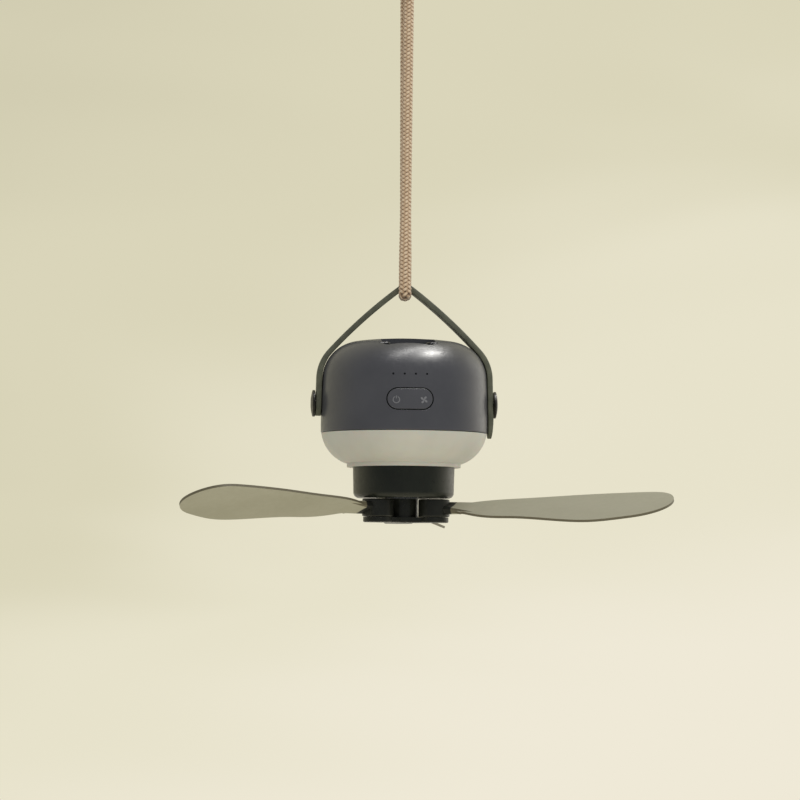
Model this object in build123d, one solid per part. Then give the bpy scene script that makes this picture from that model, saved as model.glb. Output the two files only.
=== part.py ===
from build123d import *
import os
from math import asin, atan2, cos, degrees, pi, radians, sin, sqrt

# A folding-blade camping fan that hangs from a strap, with a lamp ring round its motor.
# Lengths are in millimetres. The origin is where a rope or hook bears on the strap's
# inner bend, +Z is up, and the controls face -Y.

# ---- driving dimensions ---------------------------------------------------------------
# hanging strap
strap_width = 12.0
strap_thickness = 3.4
strap_bend_radius = 4.2
strap_leg_radius = 330.0
strap_gap = 0.35
strap_end_below_knob = 9.6
strap_tail_below_knob = 22.2
strap_spare_hole_drop = 14.0
# upper housing, a domed barrel
housing_drop = 32.3
housing_radius = 54.9
housing_height = 62.2
housing_wall = 2.4
dome_radius = 260.0
shoulder_radius = 25.0
side_bow_radius = 500.0
widest_above_seam = 7.0
seam_gap = 0.3
seam_round = 0.8
# hook well in the top
well_width = 35.0
well_front = 41.5
well_back = 8.0
well_depth = 7.5
well_corner = 6.0
well_wall = 1.8
# stowed wire hook
hook_wire = 2.4
hook_width = 26.0
hook_reach = 23.0
hook_corner = 6.0
hook_hinge_front = 36.0
# controls
button_drop = 42.1
button_length = 29.4
button_height = 13.3
button_groove = 0.6
button_edge = 0.5
groove_edge = 0.35
icon_radius = 2.1
icon_line = 0.6
icon_height = 0.2
icon_spread = 18.0
icon_drop = 0.7
button_proud = 0.3
button_skin = 3.6
button_pin_radius = 1.0
button_pin_end = 0.7
button_ear_width = 5.0
button_ear_height = 8.0
button_lug_width = 4.4
button_lug_thickness = 2.4
button_lug_gap = 0.4
switch_spread = 19.0
switch_size = 6.0
switch_depth = 3.5
switch_plunger_radius = 1.6
switch_plunger = 1.0
indicator_drop = 25.9
indicator_pitch = 7.3
indicator_count = 4
indicator_radius = 0.65
board_thickness = 1.6
control_board_setback = 10.9
control_board_width = 40.0
control_board_top_drop = 21.0
# strap knobs
knob_drop = 43.1
knob_radius = 8.8
knob_thickness = 2.9
knob_dome = 1.3
knob_gap = 0.3
knob_stem_radius = 2.8
knob_stem_grip = 9.0
knob_boss_radius = 6.0
# charging port in the back
port_drop = 44.0
port_width = 9.2
port_height = 3.6
port_length = 7.5
port_shell = 0.4
cover_width = 15.0
cover_height = 9.0
cover_thickness = 1.6
charge_board_width = 22.0
charge_board_height = 34.0
# battery
cell_radius = 9.1
cell_length = 65.0
cell_pitch = 19.2
cell_pocket_depth = 8.0
tray_radius = 24.8
tray_floor = 2.0
clip_floor = 1.2
# chassis
chassis_thickness = 2.2
chassis_tube_wall = 2.8
chassis_floor = 2.0
chassis_edge_gap = 1.0
wire_hole_radius = 4.0
boss_inset = 8.9
boss_radius = 3.2
boss_height = 16.0
boss_count = 4
boss_pilot_radius = 1.2
# lamp
diffuser_height = 22.6
diffuser_wall = 2.0
diffuser_curve_radius = 25.0
diffuser_foot_radius = 38.7
lip_radius = 37.5
lip_height = 2.6
lamp_board_width = 13.0
lamp_board_fit = 0.2
led_inset = 3.5
led_count = 12
led_size = 3.0
led_height = 0.8
# motor
motor_top_radius = 33.5
motor_bottom_radius = 33.0
motor_height = 20.3
motor_wall = 2.0
motor_floor = 1.6
motor_corner = 3.6
motor_mouth_radius = 18.0
base_thickness = 2.0
bearing_outer_radius = 6.5
bearing_height = 4.0
bearing_tube_wall = 1.8
stator_radius = 24.9
stator_height = 9.0
stator_teeth = 9
tooth_width = 3.4
winding_build = 1.5
magnet_thickness = 1.9
magnet_count = 12
air_gap = 0.5
bell_wall = 1.2
shaft_radius = 2.5
shaft_clearance = 0.03
flange_radius = 17.1
flange_thickness = 1.4
# hub and blades
hub_boss_radius = 9.6
hub_plate_thickness = 3.4
hub_arm_radius = 9.6
pivot_circle_radius = 21.5
pivot_pin_radius = 2.0
pivot_head_radius = 3.6
pivot_head_height = 1.9
knuckle_radius = 10.3
knuckle_height = 11.5
knuckle_gap = 0.35
grip_width = 12.0
grip_thickness = 5.4
grip_bevel = 1.2
grip_run_out = 32.0
grip_run_out_width = 20.0
grip_run_out_thickness = 1.2
tang_shoulder = 2.0
tang_reach = 14.0
neck_reach = 16.0
neck_width = 12.0
blade_count = 3
blade_azimuth = -25.4
loose_blade_swing = -13.0
blade_pitch = 20.0
blade_thickness = 1.6
blade_camber_radius = 500.0
blade_lead_width = 33.4
blade_trail_width = 24.6
blade_tip_radius = 182.6
blade_tip_offset = 6.2
blade_root_inset = 3.0
blade_pin_radius = 1.0
blade_pin_reach = 6.6
blade_pin_spread = 5.0
nut_radius = 5.0
nut_height = 2.8
# rope sling and its top fitting
rope_diameter = 6.4
rope_bend_radius = 6.0
rope_top = 208.0
rope_leg_spacing = 7.0
rope_cross_shift = 0.9
sleeve_length = 17.0
sleeve_wall = 1.8
sleeve_eye_radius = 4.2
sleeve_eye_wall = 2.2
sleeve_eye_thickness = 4.0
ring_radius = 9.5
ring_wire = 3.0
# general
fit = 0.05
clear = 0.3
screw_radius = 1.15
screw_head_radius = 2.4
screw_head_height = 1.8

# ---- heights and places that follow from them -----------------------------------------
housing_top = -housing_drop
seam = housing_top - housing_height
widest = seam + widest_above_seam
knob_axis = housing_top - knob_drop
button_z = housing_top - button_drop
indicator_z = housing_top - indicator_drop
port_z = housing_top - port_drop
diffuser_bottom = seam - diffuser_height
motor_bottom = diffuser_bottom - motor_height
flange_bottom = motor_bottom - 0.5
knuckle_top = motor_bottom - 0.9
knuckle_bottom = knuckle_top - knuckle_height
hub_mid = (knuckle_top + knuckle_bottom) / 2
plate_top = knuckle_bottom - knuckle_gap
plate_bottom = plate_top - hub_plate_thickness
chassis_top = seam + 0.2
chassis_under = chassis_top - chassis_thickness
motor_flange_under = diffuser_bottom - motor_wall
tube_inner = tray_radius + 1.2
tube_outer = tube_inner + chassis_tube_wall
well_floor = housing_top - well_depth
cell_top = well_floor - well_wall - clip_floor - 0.6
cell_bottom = cell_top - cell_length
tray_under = cell_bottom - tray_floor
board_face = -(housing_radius - control_board_setback)
boss_circle_radius = housing_radius - boss_inset
lamp_board_outer_radius = tube_outer + lamp_board_fit + lamp_board_width
led_circle_radius = lamp_board_outer_radius - led_inset
strap_inner_x = housing_radius + strap_gap
knob_inner_x = strap_inner_x + strap_thickness + knob_gap


# ---- small helpers --------------------------------------------------------------------
def column(radius, bottom, top, x=0.0, y=0.0):
    """A round solid that stands along Z."""
    return Pos(x, y, (bottom + top) / 2) * Cylinder(radius, top - bottom)


def tube(outer, inner, bottom, top):
    """A round sleeve round the Z axis."""
    return column(outer, bottom, top) - column(inner, bottom - 1, top + 1)


def block(x, y, z):
    """A box between two limits on each axis."""
    size = [limits[1] - limits[0] for limits in (x, y, z)]
    middle = [(limits[0] + limits[1]) / 2 for limits in (x, y, z)]
    return Pos(*middle) * Box(*size)


def rod_x(radius, start, end, y, z):
    """A round solid that lies along X."""
    return Pos((start + end) / 2, y, z) * Rot(0, 90, 0) * Cylinder(radius, abs(end - start))


def pill(length, height, start, end, x=0.0, z=0.0):
    """A prism with round ends that runs along Y from start to end."""
    outline = Plane.XZ * SlotOverall(length, height)
    return Pos(x, end, z) * extrude(outline, end - start)


def around(count, start=0.0):
    """The turns about Z of evenly spaced copies."""
    return [Rot(0, 0, start + 360 * i / count) for i in range(count)]


def revolved(face):
    return revolve(Plane.XZ * face, Axis.Z)


# ---- the barrel's shape ---------------------------------------------------------------
def side_reach(z, inset=0.0):
    """The barrel's radius at a height, on its gently bowed side."""
    bow = sqrt((side_bow_radius - inset) ** 2 - (z - widest) ** 2)
    return housing_radius - side_bow_radius + bow


def dome_height(r, inset=0.0):
    """The height of the domed top at a radius."""
    return housing_top - dome_radius + sqrt((dome_radius - inset) ** 2 - r**2)


def barrel(inset, floor):
    """The solid barrel inside the housing's outer skin by inset, down to floor."""
    corner_z = housing_top
    for _ in range(12):
        corner_z = dome_height(side_reach(corner_z, inset), inset)
    corner_r = side_reach(corner_z, inset)
    middle_z = (corner_z + floor) / 2
    corner = (corner_r, corner_z)
    apex = (0, dome_height(0, inset))
    halfway = (corner_r / 2, dome_height(corner_r / 2, inset))
    foot = (side_reach(floor, inset), floor)
    outline = [
        ThreePointArc(apex, halfway, corner),
        ThreePointArc(corner, (side_reach(middle_z, inset), middle_z), foot),
        Line(foot, (0, floor)),
        Line((0, floor), apex),
    ]
    face = make_face(outline)
    sharp = face.vertices().sort_by_distance((corner_r, corner_z, 0))[0]
    return revolved(fillet(sharp, shoulder_radius - inset))


def skin_y(x, inset=0.0, z=None):
    """How far the barrel's side lies from the XZ plane, at x."""
    return sqrt(side_reach(button_z if z is None else z, inset) ** 2 - x**2)


# ---- upper housing and what is set in it ----------------------------------------------
def well(grow, bottom):
    """The hook well's rounded box, larger by grow on every side."""
    length = well_front - well_back + 2 * grow
    middle = -(well_front + well_back) / 2
    outline = RectangleRounded(well_width + 2 * grow, length, well_corner + grow)
    return Pos(0, middle, bottom) * extrude(outline, housing_top + 1 - bottom)


def chassis_bosses():
    """Four screw posts with a rib to the wall, which the chassis is screwed to."""
    top = chassis_top + boss_height
    post = column(boss_radius, chassis_top, top, boss_circle_radius)
    post += block((boss_circle_radius, housing_radius), (-1, 1), (chassis_top, top))
    post -= column(boss_pilot_radius, chassis_top - 1, top - 2, boss_circle_radius)
    return [turn * post for turn in around(boss_count, 45)]


def knob_bosses():
    """A round boss inside each side that the knob's stem is driven into."""
    depth = housing_radius - knob_stem_grip - 1.5
    return [
        rod_x(knob_boss_radius, side * depth, side * (housing_radius - 1), 0, knob_axis)
        for side in (-1, 1)
    ]


def upper_housing():
    outer = barrel(0, seam)
    outer = fillet(outer.edges().sort_by(Axis.Z)[0], seam_round)
    inner = barrel(housing_wall, seam - 1)
    shell = outer - inner
    shell += (well(well_wall, well_floor - well_wall) & outer)
    for boss in chassis_bosses() + knob_bosses():
        shell += boss & outer
    shell -= well(0, well_floor)
    hook_bore = hook_wire / 2 + fit
    pin_end = well_width / 2 + well_wall - 0.4
    shell -= rod_x(hook_bore, -pin_end, pin_end, -hook_hinge_front, hook_axis_z())
    groove = 2 * button_groove
    front = (-housing_radius - 5, -housing_radius / 2)
    shell -= pill(button_length + groove, button_height + groove, *front, z=button_z)
    shell = fillet(groove_lip(shell), groove_edge)
    for x in indicator_places():
        shell -= Pos(x, -housing_radius, indicator_z) * Rot(90, 0, 0) * Cylinder(indicator_radius + fit, 20)
    for side in (-1, 1):
        reach = side * (housing_radius - knob_stem_grip)
        shell -= rod_x(knob_stem_radius, reach, side * (housing_radius + 5), 0, knob_axis)
    shell += pill(cover_width + 4, cover_height + 4, skin_y(0, z=port_z) - cover_thickness - 2.4,
                  skin_y(0, z=port_z), z=port_z) & outer
    shell -= cover_seat(cover_thickness + clear)
    mouth = (housing_radius / 2, housing_radius + 5)
    shell -= pill(port_width + 2 * fit, port_height + 2 * fit, *mouth, z=port_z)
    return shell


def groove_lip(shell):
    """The edges where the button's opening meets the barrel's outer skin."""
    def on_lip(edge):
        at = edge.center()
        on_skin = abs(sqrt(at.X**2 + at.Y**2) - side_reach(at.Z)) < 0.05
        return on_skin and at.Y < 0 and abs(at.X) < button_length and abs(at.Z - button_z) < button_height
    return [edge for edge in shell.edges() if on_lip(edge)]


def cover_seat(depth):
    """The shallow seat of the port cover, square at the hinge side and round at the corners."""
    outline = Plane.XZ * RectangleRounded(cover_width + 2 * clear, cover_height + 2 * clear, 2.5)
    start = skin_y(0, z=port_z) - depth
    return Pos(0, start + 10, port_z) * extrude(outline, 10)


def indicator_places():
    return [indicator_pitch * (i - (indicator_count - 1) / 2) for i in range(indicator_count)]


def hook_axis_z():
    return well_floor + hook_wire / 2 + 0.9


def stow_hook():
    """A wire bail with its ends turned out into the well's side walls."""
    half, z = hook_width / 2, hook_axis_z()
    near, far = -hook_hinge_front, -hook_hinge_front + hook_reach
    out = well_width / 2 + well_wall - 0.6
    points = [(-out, near, z), (-half, near, z), (-half, far, z)]
    points += [(-x, y, z) for x, y, z in reversed(points)]
    path = FilletPolyline(*points, radius=[hook_wire, hook_corner, hook_corner, hook_wire])
    section = Plane(origin=points[0], z_dir=(1, 0, 0)) * Circle(hook_wire / 2)
    return sweep(section, path=path)


def mode_button():
    """The pill-shaped rocker, flush with the barrel, with a pivot ear and two pushers behind."""
    prism = pill(button_length, button_height, -housing_radius - 5, -housing_radius / 2, z=button_z)
    skin = barrel(-button_proud, seam) - barrel(button_skin, seam)
    cap = prism & skin
    cap = fillet(cap.faces().sort_by(Axis.Y)[0].edges(), button_edge)
    cap += button_icons() & (barrel(-button_proud - icon_height, seam) - barrel(button_skin / 2, seam))
    back = -skin_y(0, button_skin) - 0.5
    ear_end = button_pin_y() + 2.2
    wide, high = button_ear_width / 2, button_ear_height / 2
    cap += block((-wide, wide), (back, ear_end), (button_z - high, button_z + high))
    push_back = board_face - switch_depth - switch_plunger - 0.6
    for side in (-1, 1):
        x = side * switch_spread / 2
        pusher = (-skin_y(x, button_skin) - 0.3, push_back)
        cap += block((x - 1.6, x + 1.6), pusher, (button_z - 2, button_z + 2))
    return cap - column(button_pin_radius + fit, button_z - 20, button_z + 20, 0, button_pin_y())


def button_pin_y():
    return board_face - 4.4


def button_icons():
    """A power sign and a four-bladed fan sign, as prisms that run through the button's face."""
    r, line = icon_radius, icon_line
    power = Circle(r + line / 2) - Circle(r - line / 2)
    power -= Pos(0, r) * Rectangle(3 * line, r)
    power += Pos(0, 0.8 * r) * Rectangle(line, 0.9 * r)
    fan = Circle(0.26 * r)
    for i in range(4):
        fan += Rot(0, 0, 45 + 90 * i) * Pos(0.72 * r, 0.16 * r) * Ellipse(0.52 * r, 0.34 * r)
    icons = []
    for side, sign in ((-1, power), (1, fan)):
        place = Pos(side * icon_spread / 2, -housing_radius / 2, button_z - icon_drop)
        icons.append(place * extrude(Plane.XZ * sign, housing_radius / 2 + 5))
    return icons[0] + icons[1]


def button_lug_limits():
    """How far from the button's middle the lugs above and below its ear start and end."""
    start = button_ear_height / 2 + button_lug_gap
    return start, start + button_lug_thickness


def button_pin():
    half = button_lug_limits()[1] + button_pin_end
    return column(button_pin_radius, button_z - half, button_z + half, 0, button_pin_y())


def control_board():
    """The upright control board, with the two lugs that hold the button's pin."""
    half = control_board_width / 2
    board = block((-half, half), (board_face, board_face + board_thickness),
                  (chassis_top, housing_top - control_board_top_drop))
    wide = button_lug_width / 2
    for side in (-1, 1):
        limits = sorted(button_z + side * reach for reach in button_lug_limits())
        board += block((-wide, wide), (button_pin_y() - wide, board_face), limits)
    return board - column(button_pin_radius, button_z - 20, button_z + 20, 0, button_pin_y())


def tact_switches():
    switches = []
    for side in (-1, 1):
        x, half = side * switch_spread / 2, switch_size / 2
        depth = (board_face - switch_depth, board_face)
        body = block((x - half, x + half), depth, (button_z - half, button_z + half))
        plunger = Pos(x, board_face - switch_depth - switch_plunger / 2, button_z) * Rot(90, 0, 0)
        switches.append(body + plunger * Cylinder(switch_plunger_radius, switch_plunger))
    return Compound(children=switches)


def light_guide():
    """One clear moulding: a bar on the board with a rod to each indicator hole."""
    half = indicator_places()[-1] + 2.2
    bar_front = board_face - 3.0
    guide = block((-half, half), (bar_front, board_face - 1.4), (indicator_z - 1.5, indicator_z + 1.5))
    for side in (-1, 1):
        foot = sorted((side * (half - 0.9), side * (half + 0.6)))
        guide += block(foot, (bar_front, board_face), (indicator_z - 1.5, indicator_z + 1.5))
    for x in indicator_places():
        tip = -skin_y(x, z=indicator_z)
        rod = Pos(x, (tip + bar_front + 0.5) / 2, indicator_z) * Rot(90, 0, 0)
        guide += rod * Cylinder(indicator_radius, bar_front + 0.5 - tip)
    return guide & barrel(0, seam)


def indicator_leds():
    return Compound(children=[
        block((x - 0.8, x + 0.8), (board_face - 0.9, board_face), (indicator_z - 0.6, indicator_z + 0.6))
        for x in indicator_places()
    ])


def knob(side):
    """A mushroom knob: a domed disc on a stem that passes through the strap."""
    r, t = knob_radius, knob_thickness
    dome = (r**2 + knob_dome**2) / (2 * knob_dome)
    head = Cylinder(r, t) & Pos(0, 0, t / 2 - dome) * Sphere(dome)
    rim = head.edges().filter_by(GeomType.CIRCLE).filter_by(lambda edge: edge.radius > 0.9 * r)
    head = fillet(rim, min(0.5, (t - knob_dome) / 2.2))
    head -= Pos(0, 0, t / 2) * Cylinder(r * 0.45, 0.8)
    stem_length = knob_inner_x - (housing_radius - knob_stem_grip)
    stem = Pos(0, 0, -t / 2 - stem_length / 2) * Cylinder(knob_stem_radius, stem_length)
    return Pos(side * (knob_inner_x + t / 2), 0, knob_axis) * Rot(0, side * 90, 0) * (head + stem)


def usb_socket():
    start, end = charge_board_face(), skin_y(0, z=port_z) - cover_thickness - clear
    shell = pill(port_width, port_height, start, end, z=port_z)
    hollow = pill(port_width - 2 * port_shell, port_height - 2 * port_shell, start + 1, end + 1, z=port_z)
    tongue = block((-3.2, 3.2), (start, end - 1.2), (port_z - 0.35, port_z + 0.35))
    return shell - hollow + tongue


def charge_board_face():
    return skin_y(0, z=port_z) - cover_thickness - clear - port_length


def charge_board():
    half = charge_board_width / 2
    return block((-half, half), (charge_board_face() - board_thickness, charge_board_face()),
                 (chassis_top, chassis_top + charge_board_height))


def port_cover():
    """A soft flap that follows the barrel, hinged along its lower edge."""
    outline = Plane.XZ * RectangleRounded(cover_width, cover_height, 2.2)
    start = skin_y(0, z=port_z) - cover_thickness
    flap = Pos(0, start + 10, port_z) * extrude(outline, 10)
    tab = Pos(0, start + cover_thickness - 0.2, port_z + cover_height / 2 - 1.6)
    return (flap & barrel(0, seam)) + tab * Rot(0, 90, 0) * Cylinder(0.7, 6)


# ---- battery and chassis --------------------------------------------------------------
def cell_places():
    half = cell_pitch / 2
    return [(x, y) for x in (-half, half) for y in (-half, half)]


def battery_cells():
    cells = []
    for x, y in cell_places():
        can = column(cell_radius, cell_bottom, cell_top - 1.0, x, y)
        can = fillet(can.edges().filter_by(GeomType.CIRCLE), 0.8)
        cells.append(can + column(2.9, cell_top - 1.1, cell_top, x, y))
    return Compound(children=cells)


def battery_tray():
    tray = column(tray_radius, tray_under, cell_bottom + cell_pocket_depth)
    for x, y in cell_places():
        tray -= column(cell_radius + fit, cell_bottom, cell_bottom + cell_pocket_depth + 1, x, y)
    return tray - column(wire_hole_radius, tray_under - 1, cell_bottom + 1)


def battery_clip():
    clip = column(tray_radius, cell_top - cell_pocket_depth, cell_top + clip_floor)
    for x, y in cell_places():
        clip -= column(cell_radius + fit, cell_top - cell_pocket_depth - 1, cell_top, x, y)
    return clip


def chassis():
    """The plate that closes the housing, and the tube that carries battery and motor."""
    rim = side_reach(chassis_top, housing_wall) - chassis_edge_gap
    part = tube(rim, tube_inner, chassis_under, chassis_top)
    part += tube(tube_outer, tube_inner, motor_flange_under, chassis_top + 12)
    floor = column(tube_inner + 0.5, tray_under - chassis_floor, tray_under)
    part += floor - column(wire_hole_radius, tray_under - 5, tray_under + 1)
    for turn in around(boss_count, 45):
        part -= turn * column(screw_radius + 0.2, chassis_under - 1, chassis_top + 1, boss_circle_radius)
    for turn in around(blade_count):
        floor_z, x = tray_under - chassis_floor, tube_inner - 2.6
        part += turn * column(boss_radius, motor_flange_under, floor_z + 0.5, x)
        part -= turn * column(boss_pilot_radius, motor_flange_under - 1, floor_z, x)
    return part


def screw(bottom, top, x):
    """A pan-head screw with its head at the bottom and a cross recess."""
    head = column(screw_head_radius, bottom - screw_head_height, bottom, x)
    shank = column(boss_pilot_radius, bottom, top, x)
    recess = block((x - 1.4, x + 1.4), (-0.3, 0.3), (bottom - screw_head_height, bottom - 0.8))
    cross = block((x - 0.3, x + 0.3), (-1.4, 1.4), (bottom - screw_head_height, bottom - 0.8))
    return head + shank - recess - cross


def housing_screws():
    one = screw(chassis_under, chassis_top + boss_height - 4, boss_circle_radius)
    return Compound(children=[turn * one for turn in around(boss_count, 45)])


# ---- lamp -----------------------------------------------------------------------------
def bowl(inset, top):
    """The diffuser's bowl as a solid, inside its outer skin by inset."""
    rim = side_reach(seam) - 0.3 - inset
    foot = diffuser_foot_radius - inset
    foot_z = diffuser_bottom + lip_height + inset
    half_chord = sqrt((rim - foot) ** 2 + (seam - seam_gap - foot_z) ** 2) / 2
    radius = max(diffuser_curve_radius - inset, half_chord * 1.05)
    outline = [
        RadiusArc((rim, seam - seam_gap), (foot, foot_z), radius),
        Line((foot, foot_z), (0, foot_z)),
        Line((0, foot_z), (0, top)),
        Line((0, top), (rim, top)),
    ]
    if top > seam - seam_gap:
        outline.append(Line((rim, top), (rim, seam - seam_gap)))
    return revolved(make_face(outline))


def diffuser():
    shell = bowl(0, seam - seam_gap)
    shell += column(lip_radius, diffuser_bottom, diffuser_bottom + lip_height + 1)
    shell -= bowl(diffuser_wall, seam + 1)
    return shell - column(tube_outer + clear, diffuser_bottom - 1, seam)


def lamp_board():
    """A ring board on the tube, which gives way to the housing's screws where it reaches them."""
    bottom = chassis_under - board_thickness
    board = tube(lamp_board_outer_radius, tube_outer + lamp_board_fit, bottom, chassis_under)
    for turn in around(boss_count, 45):
        board -= turn * column(screw_head_radius + 2 * clear, bottom - 1, chassis_under + 1, boss_circle_radius)
    return board


def lamp_leds():
    z = chassis_under - board_thickness
    half = led_size / 2
    one = block((led_circle_radius - half, led_circle_radius + half), (-half, half), (z - led_height, z))
    return Compound(children=[turn * one for turn in around(led_count)])


# ---- motor ----------------------------------------------------------------------------
def motor_housing():
    """The tapered black cup round the motor, held by the flange at its top."""
    def cup(inset, bottom):
        top_r, bottom_r = motor_top_radius - inset, motor_bottom_radius - inset
        top = diffuser_bottom
        face = make_face(Polyline((0, top), (top_r, top), (bottom_r, bottom), (0, bottom), (0, top)))
        sharp = face.vertices().sort_by_distance((bottom_r, bottom, 0))[0]
        return revolved(fillet(sharp, max(0.5, motor_corner - inset)))

    outer = cup(0, motor_bottom)
    inner = cup(motor_wall, motor_bottom + motor_floor)
    inner &= column(motor_top_radius, motor_bottom, motor_flange_under)
    shell = outer - inner
    shell -= column(motor_mouth_radius, motor_bottom - 1, motor_bottom + motor_floor + 1)
    return shell - column(tube_outer + clear, motor_flange_under - 1, diffuser_bottom + 1)


def bell_floor_top():
    return motor_bottom + motor_floor + 0.5 + bell_wall


def motor_base():
    """The motor's mounting plate with the bearing tube that hangs from it."""
    top = motor_flange_under
    radius = motor_bottom_radius - motor_wall - 0.3
    end = bell_floor_top() + 0.4
    base = column(radius, top - base_thickness, top)
    base += column(bearing_outer_radius + bearing_tube_wall, end, top)
    base -= column(bearing_outer_radius, end + 0.8, top + 1)
    base -= column(shaft_radius + 1.2, end - 1, top + 1)
    for turn in around(blade_count):
        base -= turn * column(screw_radius + 0.2, top - base_thickness - 1, top + 1, tube_inner - 2.6)
    return base


def motor_screws():
    bottom = motor_flange_under - base_thickness
    one = screw(bottom, tray_under - chassis_floor - 0.5, tube_inner - 2.6)
    return Compound(children=[turn * one for turn in around(blade_count)])


def bearing_bottoms():
    low = bell_floor_top() + 1.2
    return low, motor_flange_under - bearing_height


def motor_bearings():
    return Compound(children=[
        tube(bearing_outer_radius, shaft_radius + shaft_clearance, z, z + bearing_height)
        for z in bearing_bottoms()
    ])


def stator_bottom():
    return bell_floor_top() + 0.8


def stator_core():
    """The laminated core: a ring on the bearing tube, and teeth with wide tips."""
    low, high = stator_bottom(), stator_bottom() + stator_height
    bore = bearing_outer_radius + bearing_tube_wall
    yoke = bore + 3.0
    core = tube(yoke, bore, low, high)
    tip_inner = stator_radius - 1.6
    tip_ring = tube(stator_radius, tip_inner, low, high)
    for turn in around(stator_teeth):
        tooth = block((yoke - 1, tip_inner + 0.8), (-tooth_width / 2, tooth_width / 2), (low, high))
        wide = (-tooth_width * 1.7, tooth_width * 1.7)
        core += turn * (tooth + (tip_ring & block((0, stator_radius + 1), wide, (low, high))))
    return core


def stator_windings():
    low, high = stator_bottom(), stator_bottom() + stator_height
    start, end = bearing_outer_radius + bearing_tube_wall + 3.4, stator_radius - 2.0
    half = tooth_width / 2
    build = min(winding_build, pi * start / stator_teeth - half - 0.2)
    coil = block((start, end), (-half - build, half + build), (low - 0.5, high + 1.2))
    coil -= block((start - 1, end + 1), (-half - 0.02, half + 0.02), (low - 0.02, high + 0.02))
    return Compound(children=[turn * coil for turn in around(stator_teeth)])


def magnet_inner():
    return stator_radius + air_gap


def rotor_magnets():
    low, inner = stator_bottom(), magnet_inner()
    ring = tube(inner + magnet_thickness, inner, low, low + stator_height)
    width = 2 * pi * inner / magnet_count * 0.86
    one = ring & block((0, 2 * stator_radius), (-width / 2, width / 2), (motor_bottom, seam))
    return Compound(children=[turn * one for turn in around(magnet_count)])


def rotor_bell():
    outer = magnet_inner() + magnet_thickness + bell_wall
    floor = bell_floor_top()
    bell = column(outer, floor - bell_wall, stator_bottom() + stator_height)
    bell -= column(outer - bell_wall, floor, seam)
    return bell - column(shaft_radius, motor_bottom - 5, seam)


def motor_shaft():
    low, high = plate_bottom + 0.3, motor_flange_under - 0.6
    shaft = column(shaft_radius, low, high)
    return chamfer(shaft.edges().filter_by(GeomType.CIRCLE), 0.3)


def rotor_flange():
    """The steel disc under the motor that carries the hub."""
    top = flange_bottom + flange_thickness
    flange = column(flange_radius, flange_bottom, top)
    flange += column(6.0, flange_bottom, bell_floor_top() - bell_wall)
    return flange - column(shaft_radius, motor_bottom - 5, seam)


# ---- hub ------------------------------------------------------------------------------
def blade_turns():
    return around(blade_count, blade_azimuth)


def hub_carrier():
    """Three round arms on a plate, with a boss up the shaft."""
    half = hub_arm_radius * 0.8
    arm = column(hub_arm_radius, plate_bottom, plate_top, pivot_circle_radius)
    arm += block((0, pivot_circle_radius), (-half, half), (plate_bottom, plate_top))
    plate = column(hub_arm_radius * 1.15, plate_bottom, plate_top)
    for turn in blade_turns():
        plate += turn * arm
    rim = plate.faces().sort_by(Axis.Z)[0].edges()
    plate = chamfer(rim, 0.5)
    plate += column(hub_boss_radius, plate_top - 1, flange_bottom)
    for turn in blade_turns():
        plate -= turn * column(pivot_pin_radius, plate_bottom - 1, plate_top + 1, pivot_circle_radius)
    plate -= column(shaft_radius, plate_bottom - 1, flange_bottom + 1)
    return plate - column(nut_radius + 0.4, plate_bottom - 1, plate_bottom + nut_height + 0.2)


def hub_nut():
    hexagon = Pos(0, 0, plate_bottom + 0.1) * extrude(RegularPolygon(nut_radius, 6), nut_height)
    return hexagon - column(shaft_radius, plate_bottom - 1, plate_top)


def pivot_screws():
    """A shoulder screw down through each knuckle into the hub's arm."""
    head_bottom = knuckle_top - pivot_head_height - 0.3
    one = column(pivot_pin_radius, plate_bottom + 0.2, head_bottom, pivot_circle_radius)
    one += column(pivot_head_radius, head_bottom, head_bottom + pivot_head_height, pivot_circle_radius)
    one -= Pos(pivot_circle_radius, 0, head_bottom + 0.9) * extrude(RegularPolygon(1.6, 6), 2)
    return Compound(children=[turn * one for turn in blade_turns()])


def pitched(shape):
    """Lays a flat shape, drawn with the radius along X, at the blade's pitch."""
    return Pos(0, 0, hub_mid) * Rot(blade_pitch, 0, 0) * shape


def blade_pose(i):
    """Blades are numbered clockwise from above. The last one hangs loose, a little behind its place."""
    turn = Rot(0, 0, blade_azimuth - 360 * i / blade_count)
    if i < blade_count - 1:
        return turn
    pivot = Pos(pivot_circle_radius, 0, 0)
    return turn * pivot * Rot(0, 0, loose_blade_swing) * pivot.inverse()


def pin_holes(low, high):
    """The two upright pins that lock a blade's tang in its knuckle."""
    x = pivot_circle_radius + blade_pin_reach
    return [column(blade_pin_radius, low, high, x, side * blade_pin_spread / 2) for side in (-1, 1)]


def tang_half():
    return grip_width / 2 - tang_shoulder


def tang_slot(grow):
    """The room that a blade's tang takes up in its knuckle, larger by grow."""
    root = pivot_circle_radius + blade_root_inset
    half, thick = tang_half() + grow, blade_thickness / 2 + grow
    end = pivot_circle_radius + tang_reach
    return pitched(block((root - grow, end), (-half, half), (-thick, thick)))


def knuckle(i):
    """The black barrel that turns on the pivot screw and holds the blade's tang."""
    part = column(knuckle_radius, knuckle_bottom, knuckle_top, pivot_circle_radius)
    part = chamfer(part.edges().filter_by(GeomType.CIRCLE), 0.6)
    part -= tang_slot(fit / 2)
    part -= column(pivot_pin_radius + fit, plate_bottom, knuckle_top + 1, pivot_circle_radius)
    seat = knuckle_top - pivot_head_height - 0.3 - fit
    part -= column(pivot_head_radius + 0.35, seat, knuckle_top + 1, pivot_circle_radius)
    for hole in pin_holes(knuckle_bottom - 1, knuckle_top + 1):
        part -= hole
    return blade_pose(i) * part


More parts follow.
